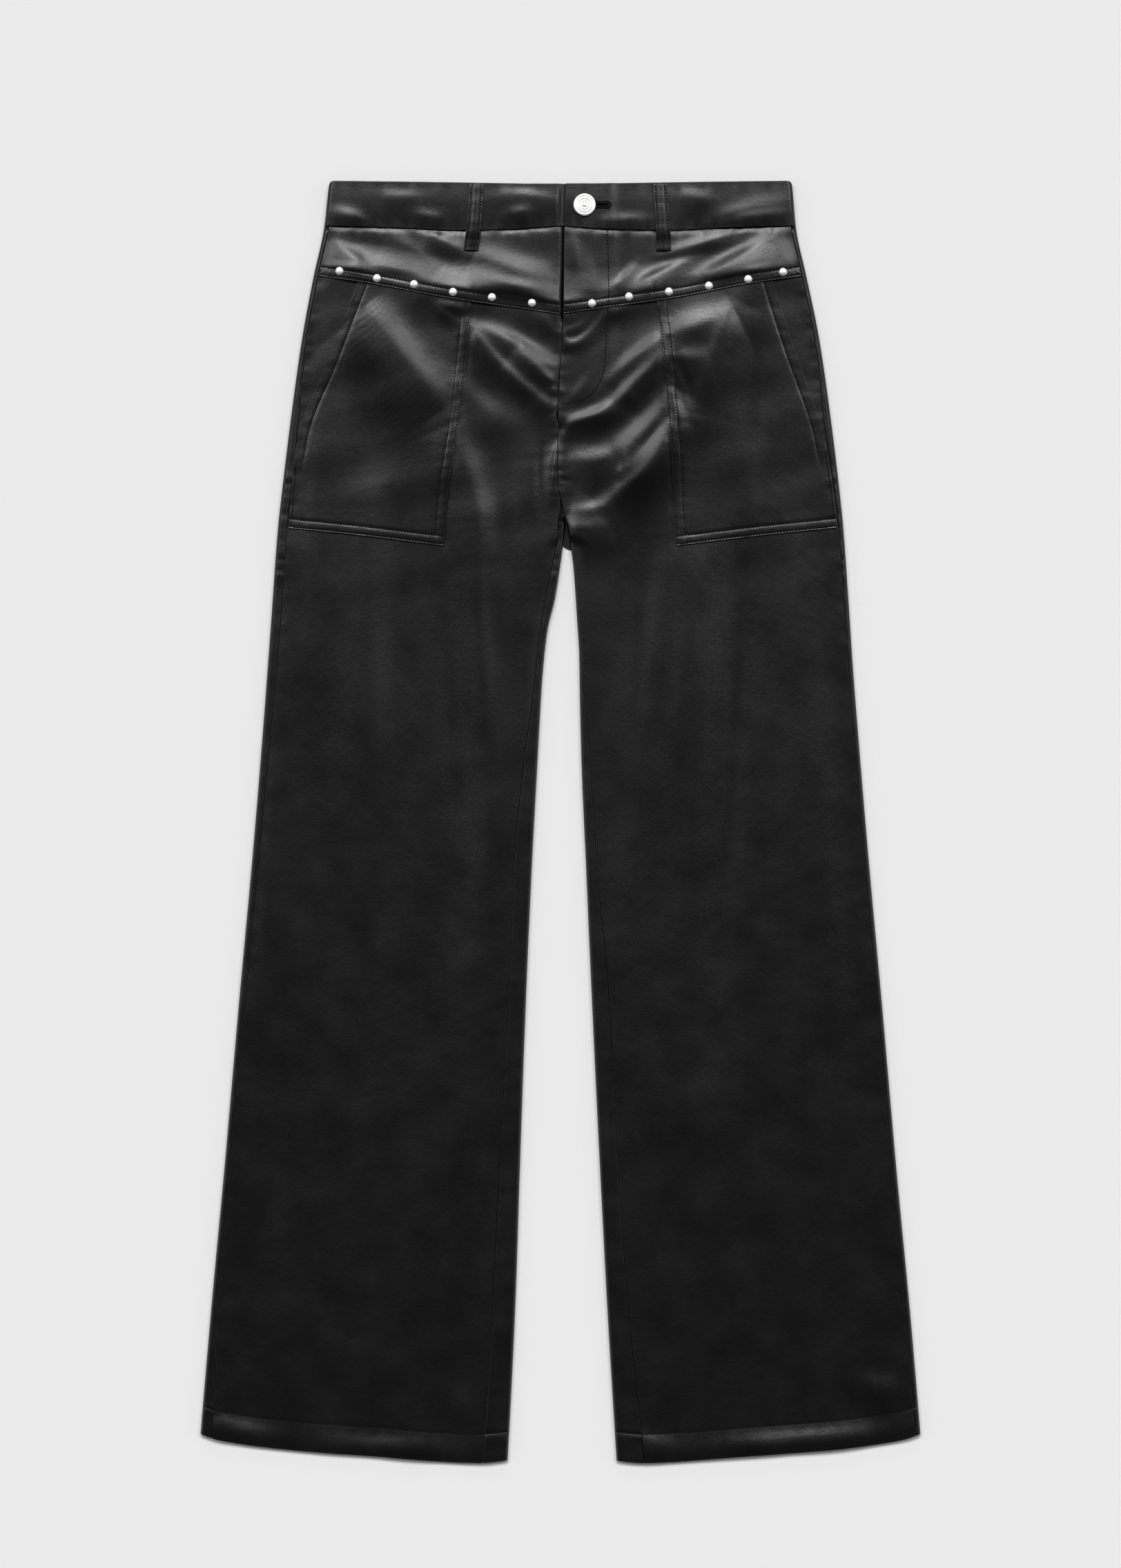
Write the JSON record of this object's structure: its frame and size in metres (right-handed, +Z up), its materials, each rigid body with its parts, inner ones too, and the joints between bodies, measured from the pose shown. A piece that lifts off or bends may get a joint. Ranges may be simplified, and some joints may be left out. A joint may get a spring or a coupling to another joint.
{
  "type": "leather trousers",
  "caption": "Wide-leg leather trousers laid flat, with studded yoke seams, patch pockets, a button fly and belt loops.",
  "frame": {"origin": "on the surface the trousers lie on, under the middle of their outline", "axes": "+Y towards the waist, +X towards the wearer's left leg, +Z up off the surface, out of the front"},
  "size_m": [0.5992, 1.0666, 0.0114],
  "materials": {
    "leather": "satin black with a fine grain",
    "metal": "satin silver"
  },
  "bodies": {
    "root": {"back_right": "leather", "front_right": "leather", "yoke_right": "leather", "pocket_right": "leather", "waistband_right": "leather", "back_left": "leather", "front_left": "leather", "yoke_left": "leather", "pocket_left": "leather", "waistband_left": "leather", "belt_loop_right": "leather", "belt_loop_left": "leather", "button": "metal", "stud_1": "metal", "stud_2": "metal", "stud_3": "metal", "stud_4": "metal", "stud_5": "metal", "stud_6": "metal", "stud_7": "metal", "stud_8": "metal", "stud_9": "metal", "stud_10": "metal", "stud_11": "metal", "stud_12": "metal"}
  },
  "joints": []
}
